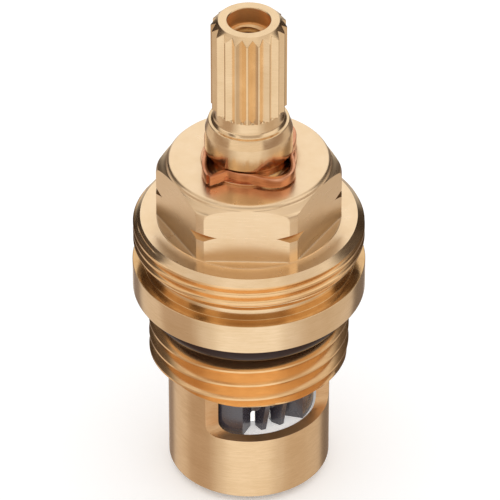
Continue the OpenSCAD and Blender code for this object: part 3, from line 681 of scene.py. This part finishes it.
# A rounded rectangle carried along the strip's path, square to the path at every point.
def clipMesh():
    c = clip
    start = c["gapMiddle"] + c["gap"] / 2
    degrees = np.linspace(start, start + 360 - c["gap"], c["steps"])
    middle = clipReach(degrees) + c["thick"] / 2
    azimuth = np.radians(degrees)
    path = np.stack([middle * np.sin(azimuth), -middle * np.cos(azimuth)], -1)
    along = np.gradient(path, axis=0)
    along /= np.linalg.norm(along, axis=1)[:, None]
    out = np.stack([along[:, 1], -along[:, 0]], -1)
    t, tall, r = c["thick"] / 2, c["tall"], c["round"]
    arc = np.linspace(0, np.pi / 2, 4)
    corner = np.stack([r - r * np.cos(arc), r - r * np.sin(arc)], -1)
    section = np.vstack([np.stack([-t + corner[:, 0], corner[:, 1]], -1),
                         np.stack([t - corner[::-1, 0], corner[::-1, 1]], -1),
                         np.stack([t - corner[:, 0], tall - corner[:, 1]], -1),
                         np.stack([-t + corner[::-1, 0], tall - corner[::-1, 1]], -1)])
    ring = np.vstack([section, section[:1]])
    flat = path[:, None, :] + out[:, None, :] * ring[None, :, :1]
    up = np.broadcast_to(c["low"] + ring[None, :, 1:], (len(path), len(ring), 1))
    points = np.concatenate([flat, up], -1)
    count = len(ring)
    last = (len(path) - 1) * count
    mesh = gridMesh("snapClip", points, [range(count - 1), range(last + count - 2, last - 1, -1)])
    tidyMesh(mesh, outwards=True)
    return mesh


mesh = clipMesh()
snapClip = addPiece("snapClip", mesh, clipBronze, "spindle_group", "snap_clip", "clip_bronze", 40)
print("snap clip made")


# A ring from a closed section, turned all the way round.
def ringMesh(name, section, columns=240):
    azimuth = np.linspace(-np.pi, np.pi, columns + 1)
    mesh = turnedMesh(name, turnedRows(section, columns + 1), azimuth)
    tidyMesh(mesh, outwards=True)
    return mesh


# A circle round the middle of a cord.
def roundSection(radius, z, across, steps=40):
    turn = np.linspace(0, 2 * np.pi, steps, endpoint=False)
    return np.stack([radius + across / 2 * np.cos(turn), z + across / 2 * np.sin(turn)], -1)


# A rectangle with softened corners, starting in the middle of its inner side.
def squareSection(inner, outer, low, high, cut):
    return softened([(inner, (low + high) / 2), (inner, low), (outer, low), (outer, high), (inner, high),
                     (inner, (low + high) / 2)], cut, 4)[:-1]


# A cord squeezed between its groove and the bore: two half circles with a straight between.
def squeezedSection(inner, outer, z, cord, steps=14):
    half = (outer - inner) / 2
    rise = (cord - (outer - inner)) / 2
    turn = np.linspace(0, np.pi, steps)
    top = np.stack([(inner + outer) / 2 + half * np.cos(turn), z + rise + half * np.sin(turn)], -1)
    low = np.stack([(inner + outer) / 2 - half * np.cos(turn), z - rise - half * np.sin(turn)], -1)
    return np.vstack([top, low])


# The seal's section stands out inwards at its foot, where it holds the support ring
seat = dict(footR=5.0, footTop=1.0, innerR=5.5, outerR=7.28, top=4.2, cut=0.25)
seatSection = softened([(seat["footR"], seat["footTop"] / 2), (seat["footR"], 0.0), (seat["outerR"], 0.0),
                        (seat["outerR"], seat["top"]), (seat["innerR"], seat["top"]),
                        (seat["innerR"], seat["footTop"]), (seat["footR"], seat["footTop"]),
                        (seat["footR"], seat["footTop"] / 2)], seat["cut"], 4)[:-1]
rings = [
    dict(name="bodyORing", section=roundSection(radius=9.25, z=21.442, across=2.78),
         material=bodyRubber, body="head", node="body_o_ring", slot="body_rubber"),
    dict(name="seatSeal", section=seatSection,
         material=blackRubber, body="head", node="seat_seal", slot="seal_rubber"),
    dict(name="supportRing", section=squareSection(inner=4.7, outer=5.48, low=1.0, high=4.18, cut=0.12),
         material=ringBrass, body="head", node="support_ring", slot="ring_brass"),
    dict(name="slideWasher", section=squareSection(inner=4.53, outer=6.4, low=16.1, high=16.9, cut=0.1),
         material=slidePlastic, body="head", node="slide_washer", slot="slide_plastic"),
    dict(name="clipWasher", section=squareSection(inner=4.53, outer=4.95, low=38.942, high=39.142, cut=0.05),
         material=washerBronze, body="head", node="clip_washer", slot="washer_bronze"),
    dict(name="spindleORingLower", section=squeezedSection(inner=3.06, outer=4.51, z=22.9, cord=1.5),
         material=blackRubber, body="spindle_group", node="spindle_o_ring_lower", slot="spindle_rubber"),
    dict(name="spindleORingUpper", section=squeezedSection(inner=3.06, outer=4.51, z=28.4, cord=1.5),
         material=blackRubber, body="spindle_group", node="spindle_o_ring_upper", slot="spindle_rubber"),
]
for ring in rings:
    addPiece(ring["name"], ringMesh(ring["name"], ring["section"]), ring["material"], ring["body"],
             ring["node"], ring["slot"], 30)
print("rings made")

# Lengths in millimetres and angles in degrees
discs = dict(cut=0.05, steps=2, flatAngle=1.0, edgeAngle=30, apart=0.001)


# A copy of a solid's own mesh: its loose triangles are merged, flat areas become single faces,
# and every edge gets a small ground break.
def groundCopy(name, node, material, body, slot):
    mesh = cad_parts[node].data.copy()
    mesh.name = name
    work = bmesh.new()
    work.from_mesh(mesh)
    bmesh.ops.remove_doubles(work, verts=work.verts, dist=discs["apart"] * mm)
    bmesh.ops.dissolve_limit(work, angle_limit=np.radians(discs["flatAngle"]), verts=work.verts,
                             edges=work.edges)
    work.to_mesh(mesh)
    work.free()
    piece = addPiece(name, mesh, material, body, node, slot, discs["edgeAngle"])
    ground = piece.modifiers.new("groundEdges", "BEVEL")
    ground.width, ground.segments = discs["cut"] * mm, discs["steps"]
    ground.limit_method, ground.angle_limit = "ANGLE", np.radians(discs["edgeAngle"])
    piece.modifiers.move(1, 0)
    return piece


groundCopy("fixedDisc", "fixed_disc", whiteCeramic, "head", "white_ceramic")
groundCopy("movingDisc", "moving_disc", greyCeramic, "spindle_group", "grey_ceramic")
print("discs made")

# The studio is a tent of soft cards round the object: azimuth from the front to the right and
# elevation of each card's middle, its half width and half height, how softly it ends, all in
# degrees, and its colour. Only reflections see it; what is plain light comes from the world.
studio = dict(floorSize=3.0, floorDrop=2e-5, floorColour="#F7F7F7", floorGlow=0.2, radius=2.0,
              wall="#E2DAD2")
cards = [
    (0, 90, 180, 18, 12, "#F6F0E8"),     # soft light overhead
    (0, -55, 34, 36, 16, "#FCF9F5"),     # white table in front
    (-78, -50, 26, 40, 20, "#BDAA99"),   # its two sides
    (78, -50, 26, 40, 20, "#CDBEAE"),
    (-116, -34, 18, 26, 12, "#DACDC0"),  # and further back
    (108, -34, 18, 26, 12, "#D2C5B7"),
    (-150, -36, 14, 30, 12, "#8D8078"),  # darker table behind, left and right
    (146, -36, 20, 30, 10, "#7E726A"),
    (-122, 20, 22, 26, 10, "#564C46"),   # dark flags behind, left and right
    (122, 18, 22, 24, 10, "#5A504A"),
    (-147, 9, 16, 17, 8, "#3E352F"),     # darker ones low beside the back wall
    (147, 9, 16, 17, 8, "#3E352F"),
    (180, 34, 26, 40, 16, "#FFFDFA"),    # back wall
    (0, 60, 50, 18, 14, "#F4EEE6"),      # soft light over the camera
    (-70, 14, 26, 10, 8, "#FBF7F2"),     # two side strips
    (70, 14, 26, 10, 8, "#FFFBF6"),
    (0, 12, 44, 14, 12, "#C9C3BC"),      # camera side
    (-85, 37, 14, 12, 8, "#E8DCCF"),     # what stands round the camera
    (-56, 37, 9, 12, 6, "#6E625A"),
    (-37, 37, 9, 12, 6, "#FFFAF2"),
    (6, 37, 36, 12, 8, "#BDB1A6"),
    (71, 37, 27, 12, 8, "#FFFAF2"),
    (-66, -3, 34, 6, 6, "#A48C76"),      # the table's far edge
    (66, -3, 34, 6, 6, "#947C6A"),
    (-7, -4, 42, 12, 4, "#F6EDE2"),      # bright strip along the table's front
]


# A square of white paper just under the seal.
def makeFloor():
    mesh = bpy.data.meshes.new("floor")
    size, z = studio["floorSize"], -studio["floorDrop"]
    mesh.from_pydata([(-size, -size, z), (size, -size, z), (size, size, z), (-size, size, z)],
                     [], [(0, 1, 2, 3)])
    floor = bpy.data.objects.new("floor", mesh)
    bpy.context.scene.collection.objects.link(floor)
    material, tree, shader = newMaterial("mattPaper")  # matt, so it shows only soft shadows
    shader.inputs["Base Color"].default_value = paint(studio["floorColour"])
    shader.inputs["Roughness"].default_value = 0.9
    shader.inputs["Specular IOR Level"].default_value = 0.0
    shader.inputs["Emission Color"].default_value = (1, 1, 1, 1)
    # A glow that only the camera sees lifts the paper to white
    seen = addNode(tree, "ShaderNodeLightPath").outputs["Is Camera Ray"]
    glow = addNode(tree, "ShaderNodeMath", {0: seen, 1: studio["floorGlow"]}, operation="MULTIPLY")
    tree.links.new(glow.outputs[0], shader.inputs["Emission Strength"])
    mesh.materials.append(material)
    floor.visible_glossy = False  # reflections see the table among the cards instead


# A sphere round the object whose points carry the cards' colours, each card laid over the last
# with soft ends.
def makeTent():
    around = np.radians(np.linspace(-180, 180, 181))
    up = np.radians(np.linspace(-90, 90, 91))
    azimuth, rise = np.meshgrid(around, up)
    points = studio["radius"] * np.stack([np.cos(rise) * np.sin(azimuth), -np.cos(rise) * np.cos(azimuth),
                                          np.sin(rise)], -1).reshape(-1, 3)
    colour = np.tile(paint(studio["wall"]), (len(points), 1))
    for turn, height, wide, tall, soft, code in cards:
        aside = np.abs((np.degrees(azimuth) - turn + 180) % 360 - 180)
        above = np.abs(np.degrees(rise) - height)
        near = np.clip((wide - aside) / soft + 0.5, 0, 1) * np.clip((tall - above) / soft + 0.5, 0, 1)
        near = (near * near * (3 - 2 * near)).reshape(-1, 1)
        colour = colour * (1 - near) + np.array(paint(code)) * near
    index = np.arange(azimuth.size).reshape(azimuth.shape)
    faces = np.stack([index[:-1, :-1], index[1:, :-1], index[1:, 1:], index[:-1, 1:]], -1)
    mesh = bpy.data.meshes.new("tent")
    mesh.from_pydata(points.tolist(), [], faces.reshape(-1, 4).tolist())
    mesh.attributes.new("cards", "FLOAT_COLOR", "POINT").data.foreach_set("color", colour.ravel())
    tent = bpy.data.objects.new("tent", mesh)
    bpy.context.scene.collection.objects.link(tent)
    material = bpy.data.materials.new("litCards")
    material.use_nodes = True
    tree = material.node_tree
    tree.nodes.clear()
    seen = addNode(tree, "ShaderNodeAttribute", attribute_name="cards")
    glow = addNode(tree, "ShaderNodeEmission", {"Color": seen.outputs["Color"]})
    addNode(tree, "ShaderNodeOutputMaterial", {"Surface": glow.outputs[0]})
    material.cycles.emission_sampling = "NONE"
    mesh.materials.append(material)
    tent.visible_camera = tent.visible_diffuse = tent.visible_shadow = tent.visible_transmission = False


# Plain white light from all sides, which reflections don't see.
def makeWorld():
    world = bpy.data.worlds.new("studio")
    bpy.context.scene.world = world
    world.use_nodes = True
    tree = world.node_tree
    tree.nodes.clear()
    light = addNode(tree, "ShaderNodeBackground", {"Color": (1, 1, 1, 1), "Strength": 1.0})
    addNode(tree, "ShaderNodeOutputWorld", {"Surface": light.outputs[0]})
    world.cycles_visibility.glossy = False


makeFloor()
makeTent()
makeWorld()
bpy.context.scene.view_settings.view_transform = "Standard"
print("studio made")
